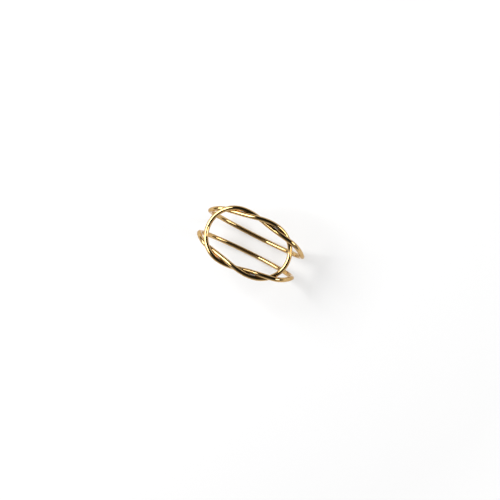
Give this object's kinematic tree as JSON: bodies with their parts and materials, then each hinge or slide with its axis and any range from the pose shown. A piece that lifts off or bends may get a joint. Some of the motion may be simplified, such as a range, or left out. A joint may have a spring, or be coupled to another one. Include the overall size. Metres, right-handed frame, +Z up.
{
  "type": "napkin ring",
  "caption": "Napkin ring of polished gold-coloured wire: facing hairpin loops laced into a twisted oval on the face, with arms that curve round the sides and join at the back.",
  "frame": {"origin": "on the surface that the ring stands on, below the middle of the oval face (the bottom centre of its box)", "axes": "+Z up, out of the oval face; +X along the oval, from the left loop to the right loop; +Y along the napkin's way through the ring"},
  "size_m": [0.0573, 0.0326, 0.0342],
  "materials": {
    "gold_plated_brass": "polished"
  },
  "bodies": {
    "root": {"left_loop_wire": "gold_plated_brass", "right_loop_wire": "gold_plated_brass"}
  },
  "joints": []
}
